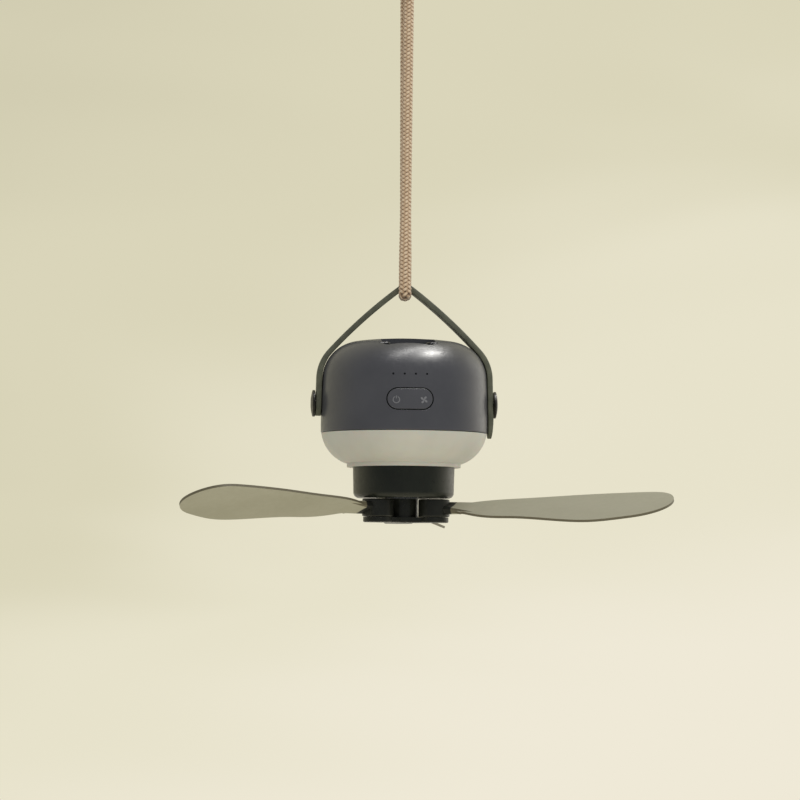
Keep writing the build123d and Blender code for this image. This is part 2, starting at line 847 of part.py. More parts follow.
def blade_outline():
    """The paddle outline: a neck that is buried in the grip, and a swelling to a broad tip."""
    neck, half = pivot_circle_radius + neck_reach, neck_width / 2
    reach = blade_tip_radius - neck
    lead = [(0.044, 0.285), (0.1, 0.39), (0.316, 0.599), (0.53, 0.802), (0.704, 0.934), (0.826, 1)]
    lead += [(0.908, 0.976)]
    trail = [(0.908, 0.569), (0.826, 0.789), (0.704, 1), (0.53, 0.943), (0.316, 0.732)]
    trail += [(0.1, 0.516), (0.044, 0.378)]
    points = [(neck + part * reach, share * blade_lead_width) for part, share in lead]
    points.append((blade_tip_radius, blade_tip_offset))
    points += [(neck + part * reach, -share * blade_trail_width) for part, share in trail]
    edge = Spline((neck, half), *points, (neck, -half), tangents=[(1, 0.8), (-1, 0.8)])
    return make_face([edge, Line((neck, -half), (neck, half))])


def blade_grip():
    """The thick root, which leaves the barrel as a bevelled bar and tapers into the blade."""
    start, full = pivot_circle_radius, pivot_circle_radius + knuckle_radius
    places = [(start, grip_width, grip_thickness), (full, grip_width, grip_thickness)]
    places.append((start + grip_run_out, grip_run_out_width, grip_run_out_thickness))
    sections = []
    for x, wide, thick in places:
        bevel = grip_bevel * thick / grip_thickness
        outline = chamfer(Rectangle(wide, thick).vertices(), bevel)
        sections.append(Plane(origin=(x, 0, 0), x_dir=(0, 1, 0), z_dir=(1, 0, 0)) * outline)
    return pitched(loft(sections, ruled=True))


def blade(i):
    """A thin moulded paddle, slightly cambered across its chord, with a thick root."""
    across = 2 * blade_lead_width
    prism = Pos(0, 0, -across / 2) * extrude(blade_outline(), across)
    outer, length = blade_camber_radius, 3 * blade_tip_radius
    shell = Cylinder(outer, length) - Cylinder(outer - blade_thickness, length + 1)
    shell = Pos(0, 0, blade_thickness / 2 - outer) * Rot(0, 90, 0) * shell
    near_side = block((0, blade_tip_radius + 1), (-across, across), (-across / 2, across / 2))
    paddle = prism & shell & near_side
    barrel_room = column(knuckle_radius + fit, plate_bottom - 10, motor_bottom, pivot_circle_radius)
    part = pitched(paddle) + (blade_grip() - barrel_room) + tang_slot(0)
    for hole in pin_holes(knuckle_bottom, knuckle_top):
        part -= hole
    return blade_pose(i) * part


def blade_pins(i):
    pins = pin_holes(knuckle_bottom + 0.2, knuckle_top - 0.2)
    return Compound(children=[blade_pose(i) * pin for pin in pins])


# ---- strap ----------------------------------------------------------------------------
def strap_loop(grow):
    """The area inside the strap's loop: a tight bend on top, the barrel's shoulders and its sides."""
    shoulder = Vector(*shoulder_centre())
    wrap = shoulder_radius + strap_gap
    side_x = strap_inner_x + grow
    with BuildSketch() as area:
        with Locations((0, -strap_bend_radius)):
            Circle(strap_bend_radius + grow)
        with Locations((-shoulder.X, shoulder.Y), (shoulder.X, shoulder.Y)):
            Circle(wrap + grow)
        with Locations((1 - side_x, widest), (side_x - 1, widest)):
            Circle(1)
        make_hull()
    low = seam - 60
    sides = Pos(0, (widest + low) / 2) * Rectangle(2 * side_x, widest - low)
    leg = bowed_leg(Vector(0, -strap_bend_radius), strap_bend_radius, shoulder, wrap, grow)
    return area.sketch + sides + leg + mirror(leg, Plane.YZ)


def bowed_leg(start, start_radius, end, end_radius, grow):
    """The area under one leg, a shallow arc that touches the circles at both of its ends."""
    chord = end - start
    to_start, to_end = strap_leg_radius - start_radius, strap_leg_radius - end_radius
    along = (to_start**2 - to_end**2 + chord.length**2) / (2 * chord.length)
    across = sqrt(to_start**2 - along**2)
    ahead = chord.normalized()
    centre = start + ahead * along + Vector(ahead.Y, -ahead.X) * across
    first = start + (start - centre).normalized() * (start_radius + grow)
    last = end + (end - centre).normalized() * (end_radius + grow)
    middle = centre + ((first + last) / 2 - centre).normalized() * (strap_leg_radius + grow)
    arc = ThreePointArc(first, middle, last)
    return make_face([arc, Line(last, end), Line(end, start), Line(start, first)])


def shoulder_centre():
    """The centre of the shoulder's round, which touches the dome and the side inside."""
    r = housing_radius - shoulder_radius
    for _ in range(12):
        z = housing_top - dome_radius + sqrt((dome_radius - shoulder_radius) ** 2 - r**2)
        bow = sqrt((side_bow_radius - shoulder_radius) ** 2 - (z - widest) ** 2)
        r = housing_radius - side_bow_radius + bow
    return r, z


def strap():
    band = strap_loop(strap_thickness) - strap_loop(0)
    half = strap_width / 2
    solid = Pos(0, half, 0) * extrude(Plane.XZ * band, strap_width)
    low = seam - 80
    span = 2 * housing_radius
    solid -= block((-span, 0), (-half - 1, half + 1), (low, knob_axis - strap_end_below_knob))
    solid -= block((0, span), (-half - 1, half + 1), (low, knob_axis - strap_tail_below_knob))
    ends = [edge for edge in solid.edges().filter_by(Axis.X) if edge.center().Z < knob_axis]
    solid = fillet(ends, half - 0.5)
    solid -= rod_x(knob_stem_radius + fit, -span, span, 0, knob_axis)
    return solid - rod_x(knob_stem_radius, 0, span, 0, knob_axis - strap_spare_hole_drop)


# ---- rope sling and top fitting -------------------------------------------------------
def rope_points():
    """Down in front of the strap, under its bend, and up again behind it."""
    corner = strap_width / 2 + rope_bend_radius + 0.2
    low = -rope_diameter / 2 - clear / 2
    return [
        (rope_cross_shift, -rope_leg_spacing / 2, rope_top),
        (-rope_cross_shift, -corner, low),
        (rope_cross_shift, corner, low),
        (-rope_cross_shift, rope_leg_spacing / 2, rope_top),
    ]


def rope():
    points = [Vector(*p) for p in rope_points()]
    path = FilletPolyline(*points, radius=[rope_bend_radius, rope_bend_radius])
    section = Plane(origin=points[0], z_dir=points[1] - points[0]) * Circle(rope_diameter / 2)
    solid = sweep(section, path=path)
    straight = pi * rope_diameter**2 / 4 * path.length
    print(f"rope: bend radii {rope_bend_radius} and {rope_bend_radius}, length {path.length:.1f}")
    print(f"rope: volume {solid.volume:.0f}, section times length {straight:.0f}")
    return solid & block((-50, 50), (-50, 50), (-50, rope_top))


def rope_sleeve():
    """A crimped sleeve that holds both rope ends, with an eye on top."""
    high = sleeve_top()
    low = high - sleeve_length
    length = rope_leg_spacing + rope_diameter + 2
    across = Rot(0, 0, 90)
    body = across * SlotOverall(length + 2 * sleeve_wall, rope_diameter + 2 * sleeve_wall)
    body = Pos(0, 0, low) * extrude(body, sleeve_length)
    hollow = across * SlotOverall(length, rope_diameter + 2.4)
    hollow = Pos(0, 0, low - 1) * extrude(hollow, rope_top - low + 1)
    eye_z = high + sleeve_eye_radius + 0.5
    eye_outer = sleeve_eye_radius + sleeve_eye_wall
    eye = Pos(0, 0, eye_z) * Rot(90, 0, 0) * Cylinder(eye_outer, sleeve_eye_thickness)
    hole = Pos(0, 0, eye_z) * Rot(90, 0, 0) * Cylinder(sleeve_eye_radius, 10)
    return body + eye - hole - hollow


def sleeve_top():
    return rope_top + 4


def hanging_ring():
    """A split ring through the sleeve's eye, which goes on a branch hook or a tent loop."""
    high = sleeve_top() + 2 * sleeve_eye_radius + 0.5
    rise = ring_radius - sqrt(ring_radius**2 - (sleeve_eye_thickness / 2) ** 2)
    turned = Pos(0, 0, high - clear - rise - ring_wire / 2 + ring_radius) * Rot(0, 90, 0)
    return turned * Torus(ring_radius, ring_wire / 2)


# ---- every node -----------------------------------------------------------------------
nodes = {
    "strap": strap(),
    "knob_left": knob(-1),
    "knob_right": knob(1),
    "upper_housing": upper_housing(),
    "stow_hook": stow_hook(),
    "mode_button": mode_button(),
    "button_pin": button_pin(),
    "control_board": control_board(),
    "tact_switches": tact_switches(),
    "light_guide": light_guide(),
    "indicator_leds": indicator_leds(),
    "usb_socket": usb_socket(),
    "charge_board": charge_board(),
    "port_cover": port_cover(),
    "battery_cells": battery_cells(),
    "battery_tray": battery_tray(),
    "battery_clip": battery_clip(),
    "chassis": chassis(),
    "housing_screws": housing_screws(),
    "diffuser": diffuser(),
    "lamp_board": lamp_board(),
    "lamp_leds": lamp_leds(),
    "motor_housing": motor_housing(),
    "motor_base": motor_base(),
    "motor_screws": motor_screws(),
    "motor_bearings": motor_bearings(),
    "stator_core": stator_core(),
    "stator_windings": stator_windings(),
    "rotor_magnets": rotor_magnets(),
    "rotor_bell": rotor_bell(),
    "motor_shaft": motor_shaft(),
    "rotor_flange": rotor_flange(),
    "hub_carrier": hub_carrier(),
    "hub_nut": hub_nut(),
    "pivot_screws": pivot_screws(),
    "rope": rope(),
    "rope_sleeve": rope_sleeve(),
    "hanging_ring": hanging_ring(),
}
for i in range(blade_count):
    nodes[f"knuckle_{i + 1}"] = knuckle(i)
    nodes[f"blade_{i + 1}"] = blade(i)
    nodes[f"blade_pins_{i + 1}"] = blade_pins(i)

os.makedirs("parts", exist_ok=True)
for name, shape in nodes.items():
    export_step(shape, f"parts/{name}.step")
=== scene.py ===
from math import acos, atan2, cos, pi, radians, sin, sqrt

import bpy
import numpy as np
from mathutils import Matrix, Vector


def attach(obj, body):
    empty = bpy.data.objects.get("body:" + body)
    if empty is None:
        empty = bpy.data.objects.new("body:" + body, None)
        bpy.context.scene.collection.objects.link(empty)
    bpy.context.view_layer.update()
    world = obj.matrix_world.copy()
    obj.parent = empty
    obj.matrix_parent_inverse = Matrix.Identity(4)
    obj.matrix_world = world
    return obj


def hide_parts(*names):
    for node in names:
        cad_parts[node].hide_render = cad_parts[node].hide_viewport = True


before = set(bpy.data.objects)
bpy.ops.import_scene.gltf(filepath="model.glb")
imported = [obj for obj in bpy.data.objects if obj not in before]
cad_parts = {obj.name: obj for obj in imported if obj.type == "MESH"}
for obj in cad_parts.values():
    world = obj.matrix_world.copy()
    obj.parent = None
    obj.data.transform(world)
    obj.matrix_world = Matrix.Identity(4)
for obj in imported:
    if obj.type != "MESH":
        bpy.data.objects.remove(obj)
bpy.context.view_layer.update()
scene = bpy.context.scene

# ---- camera ---------------------------------------------------------------------------
# It stands three metres off on a long lens, a little left of the front and a little
# below the hub, and looks slightly up. The image is rolled by less than half a degree.
CAMERA_PLACE = (-0.2145, -2.9923, -0.2279)
CAMERA_TURN = radians(-4.047)
CAMERA_TILT = radians(92.964)
CAMERA_ROLL = radians(0.43)
camera_data = bpy.data.cameras.new("camera")
camera_data.lens = 205
camera_data.sensor_width = 36
camera_data.clip_end = 200
camera = bpy.data.objects.new("camera", camera_data)
scene.collection.objects.link(camera)
camera.matrix_world = (
    Matrix.Translation(CAMERA_PLACE)
    @ Matrix.Rotation(CAMERA_TURN, 4, "Z")
    @ Matrix.Rotation(CAMERA_TILT, 4, "X")
    @ Matrix.Rotation(CAMERA_ROLL, 4, "Z")
)
scene.camera = camera

# ---- rope sling -----------------------------------------------------------------------
# One length of soft braided cord, 6.4 mm thick, hung double: down in front of the strap,
# under its bend and up behind it. Both ends are held in a crimped sleeve with a split ring.
ROPE_THICK = 0.0064
ROPE_ROUTE = [
    (0.0009, -0.0035, 0.2080),
    (-0.0006, -0.0106, 0.0350),
    (-0.0009, -0.0122, -0.00335),
    (-0.0004, -0.0068, -0.00335),
    (0.0004, 0.0068, -0.00335),
    (0.0009, 0.0122, -0.00335),
    (0.0006, 0.0106, 0.0350),
    (-0.0009, 0.0035, 0.2080),
]
ROUTE_STEPS = 48
ROPE_SWELL = 0.18
ROPE_SWELL_LOW = 0.014
ROPE_SWELL_HIGH = 0.056
BRAID_STRANDS = 4
BRAID_LEAD = 0.0104
STEPS_A_STITCH = 8
YARN_WIDE = 0.00118
YARN_THICK = 0.00058
YARN_LIFT = 0.00028
YARN_BEDDING = 0.82
YARN_SIDES = 8
CORE_RADIUS = 0.0025
CORE_SIDES = 10


def route_points(name, route, steps):
    """The points of a smooth line that is drawn by the route, read from its own mesh."""
    data = bpy.data.curves.new(name, "CURVE")
    data.dimensions = "3D"
    data.resolution_u = steps
    line = data.splines.new("NURBS")
    line.points.add(len(route) - 1)
    for point, place in zip(line.points, route):
        point.co = (*place, 1)
    line.order_u = 3
    line.use_endpoint_u = True
    holder = bpy.data.objects.new(name, data)
    mesh = bpy.data.meshes.new_from_object(holder)
    points = [vertex.co.copy() for vertex in mesh.vertices]
    bpy.data.objects.remove(holder)
    bpy.data.meshes.remove(mesh)
    return np.array(points)


def even_steps(points, step):
    """The same line with points a fixed step apart, with two directions across it at each."""
    run = np.r_[0, np.cumsum(np.linalg.norm(np.diff(points, axis=0), axis=1))]
    at = np.linspace(0, run[-1], int(run[-1] / step) + 1)
    line = np.column_stack([np.interp(at, run, points[:, k]) for k in range(3)])
    ahead = np.gradient(line, axis=0)
    ahead /= np.linalg.norm(ahead, axis=1)[:, None]
    across = np.zeros_like(line)
    side = np.cross(ahead[0], (0, 1, 0))
    for i, direction in enumerate(ahead):
        side = side - direction * side.dot(direction)
        side /= np.linalg.norm(side)
        across[i] = side
    return at, line, across, np.cross(ahead, across)


def mesh_piece(name, vertices, faces):
    """A new smooth mesh object with these corners and faces."""
    mesh = bpy.data.meshes.new(name)
    mesh.from_pydata([tuple(v) for v in vertices], [], faces)
    mesh.validate()
    mesh.update()
    mesh.shade_smooth()
    piece = bpy.data.objects.new(name, mesh)
    scene.collection.objects.link(piece)
    return piece


def tube_faces(rings, sides, start=0):
    """Quads between rings of corners, with both ends closed."""
    faces = []
    for i in range(rings - 1):
        a = start + i * sides
        b = a + sides
        faces += [(a + j, a + (j + 1) % sides, b + (j + 1) % sides, b + j) for j in range(sides)]
    last = start + (rings - 1) * sides
    faces.append(tuple(start + j for j in reversed(range(sides))))
    faces.append(tuple(last + j for j in range(sides)))
    return faces


def cord_section(z):
    """How much the cord is widened and flattened where it bears on the strap."""
    share = np.clip((ROPE_SWELL_HIGH - z) / (ROPE_SWELL_HIGH - ROPE_SWELL_LOW), 0, 1)
    share = share * share * (3 - 2 * share)
    return (1 + ROPE_SWELL * share)[:, None], (1 - ROPE_SWELL / 4 * share)[:, None]


def rings_round(line, across, upward, wide, high, sides):
    """Rings of corners round a line, one ring at each of its points."""
    turns = [2 * pi * k / sides for k in range(sides)]
    ring = [line + across * (wide * cos(a)) + upward * (high * sin(a)) for a in turns]
    return list(np.stack(ring, axis=1).reshape(-1, 3))


def yarn_heights(lift):
    """How high each corner of a yarn stands: 1 on a crown, less in a dip and at the edges. The cord's
    colour uses it to paint shade into the dips.
    """
    crowns = [abs(sin(2 * pi * k / YARN_SIDES)) for k in range(YARN_SIDES)]
    high = [0.5 + 0.5 * lift / YARN_LIFT * crown - 0.6 * (1 - crown) for crown in crowns]
    return list(np.stack(high, axis=1).reshape(-1))


def braided_cord(name, points):
    """Eight flat yarns, four each way, that pass over and under each other on a core."""
    step = BRAID_LEAD / BRAID_STRANDS / STEPS_A_STITCH
    at, line, across, upward = even_steps(points, step)
    wider, flatter = cord_section(line[:, 2])
    across, upward = across * wider, upward * flatter
    middle = ROPE_THICK / 2 - YARN_THICK * YARN_BEDDING
    corners, faces, heights = [], [], []
    for way in (1, -1):
        for strand in range(BRAID_STRANDS):
            turn = way * 2 * pi * at / BRAID_LEAD + 2 * pi * strand / BRAID_STRANDS
            lift = way * YARN_LIFT * np.cos(2 * pi * at * BRAID_STRANDS / BRAID_LEAD)
            out = across * np.cos(turn)[:, None] + upward * np.sin(turn)[:, None]
            place = line + out * (middle + lift)[:, None]
            along = np.gradient(place, axis=0)
            along /= np.linalg.norm(along, axis=1)[:, None]
            flat = np.cross(along, out)
            faces += tube_faces(len(at), YARN_SIDES, len(corners))
            corners += rings_round(place, flat, out, YARN_WIDE, YARN_THICK, YARN_SIDES)
            heights += yarn_heights(lift)
    faces += tube_faces(len(at), CORE_SIDES, len(corners))
    corners += rings_round(line, across, upward, CORE_RADIUS, CORE_RADIUS, CORE_SIDES)
    piece = mesh_piece(name, corners, faces)
    heights += [0.0] * (len(piece.data.vertices) - len(heights))
    piece.data.attributes.new("height", "FLOAT", "POINT").data.foreach_set("value", heights)
    return piece, line


MIX_FACTOR, MIX_FIRST, MIX_SECOND, MIX_RESULT = 0, 6, 7, 2
TEXTURE_LOW, TEXTURE_HIGH = 0.3, 0.7


class Nodes:
    """The nodes of a material or of the room, and short ways to add to them."""

    def __init__(self, tree):
        self.nodes = tree.nodes
        self.links = tree.links

    def node(self, kind, **values):
        """A node with its sockets or settings filled in."""
        made = self.nodes.new("ShaderNode" + kind)
        for key, value in values.items():
            if key in made.inputs:
                made.inputs[key].default_value = value
            else:
                setattr(made, key, value)
        return made

    def fill(self, socket, source):
        """Puts a number or a colour in a socket, or links an output to it."""
        if isinstance(source, tuple):
            socket.default_value = (*paint(*source), 1)
        elif isinstance(source, (int, float)):
            socket.default_value = source
        else:
            self.links.new(source, socket)

    def maths(self, operation, *values):
        """A sum, a product or the like of outputs and numbers."""
        made = self.node("Math", operation=operation)
        for socket, value in zip(made.inputs, values):
            self.fill(socket, value)
        return made.outputs["Value"]

    def part(self, vector, axis):
        """One coordinate of a vector."""
        made = self.node("SeparateXYZ")
        self.links.new(vector, made.inputs["Vector"])
        return made.outputs[axis]

    def rescale(self, value, first, last, low=0.0, high=1.0):
        """Takes the values from first to last to those from low to high."""
        made = self.node("MapRange")
        for end, number in zip(("From Min", "From Max", "To Min", "To Max"), (first, last, low, high)):
            made.inputs[end].default_value = number
        self.links.new(value, made.inputs["Value"])
        return made.outputs["Result"]

    def mix(self, value, first, second):
        """Goes from the first colour to the second with a value."""
        made = self.node("Mix", data_type="RGBA")
        self.fill(made.inputs[MIX_FACTOR], value)
        self.fill(made.inputs[MIX_FIRST], first)
        self.fill(made.inputs[MIX_SECOND], second)
        return made.outputs[MIX_RESULT]

    def ramp(self, value, stops, bend="LINEAR"):
        """Runs a value through two or more colours."""
        made = self.node("ValToRGB")
        made.color_ramp.interpolation = bend
        elements = made.color_ramp.elements
        while len(elements) < len(stops):
            elements.new(0.5)
        for element, (at, colour) in zip(elements, stops):
            element.position = at
            element.color = (*paint(*colour), 1)
        self.links.new(value, made.inputs["Fac"])
        return made.outputs["Color"]


class Finish(Nodes):
    """A material made of nodes: a base colour that varies, a surface grain and a sheen."""

    def __init__(self, name, rough, metal=0.0, **sockets):
        self.material = bpy.data.materials.new(name)
        self.material.use_nodes = True
        super().__init__(self.material.node_tree)
        self.shader = self.nodes["Principled BSDF"]
        self.shader.inputs["Roughness"].default_value = rough
        self.shader.inputs["Metallic"].default_value = metal
        for socket, value in sockets.items():
            self.shader.inputs[socket.replace("_", " ")].default_value = value
        self.place = self.node("TexCoord").outputs["Object"]

    def stretched(self, x, y, z):
        """The object's own coordinates, scaled on each axis."""
        mapping = self.node("Mapping", Scale=(x, y, z))
        self.links.new(self.place, mapping.inputs["Vector"])
        return mapping.outputs["Vector"]

    def noise(self, scale, detail=3.0, rough=0.5, where=None):
        """A soft uneven texture, on the object's own coordinates or on others."""
        made = self.node("TexNoise", Scale=scale, Detail=detail, Roughness=rough)
        self.links.new(where or self.place, made.inputs["Vector"])
        return made.outputs["Fac"]

    def spread(self, value, low, high):
        """Stretches a texture's middle range to run from low to high."""
        return self.rescale(value, TEXTURE_LOW, TEXTURE_HIGH, low, high)

    def colours(self, value, *stops):
        """Runs a texture through two or more colours and into the base colour."""
        self.links.new(self.ramp(value, stops), self.shader.inputs["Base Color"])

    def inlay(self, value, test, edge, colour):
        """Another colour where a value passes its test against an edge."""
        base = self.shader.inputs["Base Color"]
        under = base.links[0].from_socket
        self.links.new(self.mix(self.maths(test, value, edge), under, colour), base)

    def from_axis(self):
        """The distance from the fan's own upright axis."""
        flat = self.node("VectorMath", operation="LENGTH")
        self.links.new(self.stretched(1, 1, 0), flat.inputs[0])
        return flat.outputs["Value"]

    def sheen(self, value, low, high):
        """Lets the roughness wander with a texture."""
        self.links.new(self.spread(value, low, high), self.shader.inputs["Roughness"])

    def grain(self, value, depth, strength):
        """Raises a texture out of the surface."""
        bump = self.node("Bump", Strength=strength, Distance=depth)
        self.links.new(value, bump.inputs["Height"])
        self.links.new(bump.outputs["Normal"], self.shader.inputs["Normal"])


def paint(red, green, blue):
    """A colour as seen on a screen, 0 to 255, in the renderer's own numbers."""
    levels = [v / 255 for v in (red, green, blue)]
    return [v / 12.92 if v <= 0.04045 else ((v + 0.055) / 1.055) ** 2.4 for v in levels]


def coat(finish, *pieces):
    """Gives a finish to new pieces and to nodes of the frame."""
    for piece in pieces:
        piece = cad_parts[piece] if isinstance(piece, str) else piece
        piece.data.materials.clear()
        piece.data.materials.append(finish.material)


rope_braid, rope_line = braided_cord(
    "rope_braid", route_points("rope_route", ROPE_ROUTE, ROUTE_STEPS)
)
cotton = Finish("cotton_braid", 0.82, Sheen_Weight=0.35, Sheen_Roughness=0.5)
# Painted shade and highlight: the cord's colour darkens down into the dips and edges of its yarns and
# lightens on their crowns, following the stored height.
shade_by_height = cotton.node("Attribute", attribute_name="height").outputs["Fac"]
yarn_fuzz = cotton.spread(cotton.noise(420, 4), -0.12, 0.12)
cotton.colours(
    cotton.maths("ADD", shade_by_height, yarn_fuzz),
    (0.0, (118, 92, 68)),
    (0.35, (174, 145, 115)),
    (0.65, (205, 178, 147)),
    (0.95, (226, 205, 177)),
)
cotton.grain(cotton.noise(3800, 2, 0.6), 0.00012, 0.7)
coat(cotton, rope_braid)
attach(rope_braid, "sling")
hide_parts("rope")

sleeve_plastic = Finish("sleeve_plastic", 0.45)
sleeve_plastic.colours(sleeve_plastic.noise(90), (0.3, (44, 40, 34)), (0.7, (58, 53, 46)))
sleeve_plastic.grain(sleeve_plastic.noise(2600, 2), 0.00003, 0.6)
coat(sleeve_plastic, "rope_sleeve")

bright_wire = Finish("bright_wire", 0.22, 1.0)
bright_wire.colours(bright_wire.noise(420, 3), (0.3, (176, 176, 178)), (0.7, (206, 206, 208)))
bright_wire.sheen(bright_wire.noise(900, 2), 0.14, 0.34)
bright_wire.grain(bright_wire.noise(5200, 2), 0.00001, 0.5)
coat(bright_wire, "hanging_ring")
dark_wire = Finish("dark_wire", 0.34, 0.9)
dark_wire.colours(dark_wire.noise(420, 3), (0.3, (58, 58, 60)), (0.7, (74, 74, 76)))
dark_wire.sheen(dark_wire.noise(900, 2), 0.26, 0.44)
dark_wire.grain(dark_wire.noise(5200, 2), 0.00001, 0.5)
coat(dark_wire, "stow_hook")

# ---- strap ----------------------------------------------------------------------------
# A flat moulded rubber band, 12 mm wide, that is buttoned over a knob at each side. It
# bends tightly under the rope, bows out over the shoulders and ends in a tail on the right.
STRAP_WIDE = 0.012
STRAP_THICK = 0.0036
STRAP_BEND = (Vector((0, -0.0042)), 0.0042)
STRAP_SHOULDER = (Vector((0.02905, -0.0591)), 0.02535)
STRAP_LEG_RADIUS = 0.33
STRAP_SIDE = 0.05525
BARREL_WIDEST = -0.0875
STRAP_ENDS = (-0.0850, -0.0976)
STRAP_STEP = 0.0009
STRAP_BEVEL = 0.0006
BEVEL_POINTS = 4
STRAP_TAPER = 0.0012
STRAP_TAPER_LONG = 0.016
SPARE_HOLE_LEVEL = -0.0894
SPARE_HOLE_RADIUS = 0.0028
SPARE_HOLE_CUT = 0.02


def arc_points(centre, radius, first, last, count):
    """Points on an arc, from one angle to another, in the strap's own plane."""
    angles = np.linspace(first, last, count)
    return [centre + Vector((cos(a), sin(a))) * radius for a in angles]


def strap_side(half_thick, end):
    """The right half of the strap's middle line, from the top of its bend to its end."""
    (bend, bend_r), (shoulder, shoulder_r) = STRAP_BEND, STRAP_SHOULDER
    chord = shoulder - bend
    near, far = STRAP_LEG_RADIUS - bend_r, STRAP_LEG_RADIUS - shoulder_r
    along = (near**2 - far**2 + chord.length**2) / (2 * chord.length)
    ahead = chord.normalized()
    centre = bend + ahead * along + Vector((ahead.y, -ahead.x)) * sqrt(near**2 - along**2)
    leave = (bend - centre).normalized()
    meet = (shoulder - centre).normalized()
    leave, meet = atan2(leave.y, leave.x), atan2(meet.y, meet.x)
    line = arc_points(bend, bend_r + half_thick, pi / 2, leave, 14)
    line += arc_points(centre, STRAP_LEG_RADIUS + half_thick, leave, meet, 50)[1:]
    low = Vector((STRAP_SIDE + half_thick, BARREL_WIDEST))
    gap = low - shoulder
    part = atan2(gap.y, gap.x) + acos((shoulder_r + half_thick) / gap.length)
    line += arc_points(shoulder, shoulder_r + half_thick, meet, part, 30)[1:]
    straight = [Vector((low.x, z)) for z in np.linspace(low.y, end, 12) if z < low.y]
    between = [line[-1].lerp(low, t) for t in np.linspace(0, 1, 16)[1:]]
    line += [p for p in between if p.y > end] + straight
    return [p for p in line if p.y >= end]


def band_ring(place, out, wide, thick, bevel):
    """The corners of a rounded rectangle that lies across the strap at one place."""
    ring = []
    for sy, sn, first in ((1, 1, 0), (-1, 1, 90), (-1, -1, 180), (1, -1, 270)):
        for step in range(BEVEL_POINTS):
            a = radians(first + 90 * step / (BEVEL_POINTS - 1))
            y = sy * max(wide / 2 - bevel, 0) + bevel * cos(a)
            n = sn * (thick / 2 - bevel) + bevel * sin(a)
            ring.append((place.x + out.x * n, y, place.y + out.y * n))
    return ring


def even_line(points, step):
    """Points a fixed step apart on the same line."""
    run = np.r_[0, np.cumsum([(b - a).length for a, b in zip(points, points[1:])])]
    at = np.linspace(0, run[-1], int(run[-1] / step))
    across = np.interp(at, run, [p.x for p in points])
    upward = np.interp(at, run, [p.y for p in points])
    return [Vector(pair) for pair in zip(across, upward)]


def strap_band():
    """The band swept along its line, with half-round ends and a tail that thins out."""
    half = STRAP_THICK / 2
    right = strap_side(half, STRAP_ENDS[1])
    left = [Vector((-p.x, p.y)) for p in strap_side(half, STRAP_ENDS[0])]
    line = even_line(list(reversed(left))[:-1] + right, STRAP_STEP)
    run = np.r_[0, np.cumsum([(b - a).length for a, b in zip(line, line[1:])])]
    rings = []
    for i, place in enumerate(line):
        before, after = line[max(i - 1, 0)], line[min(i + 1, len(line) - 1)]
        ahead = (after - before).normalized()
        out = Vector((-ahead.y, ahead.x))
        room = min(run[i], run[-1] - run[i])
        end = STRAP_WIDE / 2
        wide = STRAP_WIDE if room > end else 2 * sqrt(max(end**2 - (end - room) ** 2, 1e-8))
        thin = STRAP_TAPER * max(0, 1 - (run[-1] - run[i]) / STRAP_TAPER_LONG) ** 2
        bevel = min(STRAP_BEVEL, wide / 2.2)
        rings += band_ring(place - out * (thin / 2), out, wide, STRAP_THICK - thin, bevel)
    return mesh_piece("strap_band", rings, tube_faces(len(line), 4 * BEVEL_POINTS))


def apply_all(piece):
    """Turns a piece's modifiers into its own mesh."""
    graph = bpy.context.evaluated_depsgraph_get()
    made = bpy.data.meshes.new_from_object(piece.evaluated_get(graph))
    piece.modifiers.clear()
    old, piece.data = piece.data, made
    bpy.data.meshes.remove(old)


def punch(piece, centre, axis, radius, depth):
    """Cuts a round hole through a piece."""
    bpy.ops.mesh.primitive_cylinder_add(radius=radius, depth=depth, location=centre, vertices=40)
    cutter = bpy.context.object
    cutter.rotation_mode = "QUATERNION"
    cutter.rotation_quaternion = Vector(axis).to_track_quat("Z", "Y")
    bpy.context.view_layer.update()
    cut = piece.modifiers.new("hole", "BOOLEAN")
    cut.object = cutter
    cut.operation = "DIFFERENCE"
    cut.solver = "EXACT"
    apply_all(piece)
    bpy.data.objects.remove(cutter)


strap_piece = strap_band()
spare_hole = (STRAP_SIDE, 0, SPARE_HOLE_LEVEL)
punch(strap_piece, spare_hole, (1, 0, 0), SPARE_HOLE_RADIUS, SPARE_HOLE_CUT)
band_rubber = Finish("band_rubber", 0.62, Specular_IOR_Level=0.4)
band_rubber.colours(band_rubber.noise(160, 4), (0.3, (84, 87, 73)), (0.7, (104, 106, 90)))
band_rubber.sheen(band_rubber.noise(500, 3), 0.52, 0.74)
band_rubber.grain(band_rubber.noise(2400, 3, 0.6), 0.00006, 0.8)
coat(band_rubber, strap_piece)
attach(strap_piece, "sling")
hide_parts("strap")

# ---- knobs ----------------------------------------------------------------------------
# Two mushroom knobs of dark nylon on stems, pressed into the housing's sides. The strap is
# buttoned over them, and each has a shallow dish in its face.
knob_nylon = Finish("knob_nylon", 0.38)
knob_nylon.colours(knob_nylon.noise(140), (0.3, (25, 24, 19)), (0.7, (36, 34, 28)))
knob_nylon.sheen(knob_nylon.noise(420), 0.28, 0.46)
knob_nylon.grain(knob_nylon.noise(3000, 2), 0.00002, 0.6)
coat(knob_nylon, "knob_left", "knob_right")

# ---- upper housing --------------------------------------------------------------------
# A domed barrel moulded in grey plastic with a fine satin texture. It holds the battery
# and has a well in its top for the hook.
body_plastic = Finish("body_plastic", 0.33)
body_plastic.colours(body_plastic.noise(28, 3), (0.3, (71, 72, 78)), (0.7, (78, 79, 85)))
body_plastic.sheen(body_plastic.noise(340, 3), 0.28, 0.38)
body_plastic.grain(body_plastic.noise(3600, 2, 0.6), 0.000022, 0.55)
coat(body_plastic, "upper_housing")

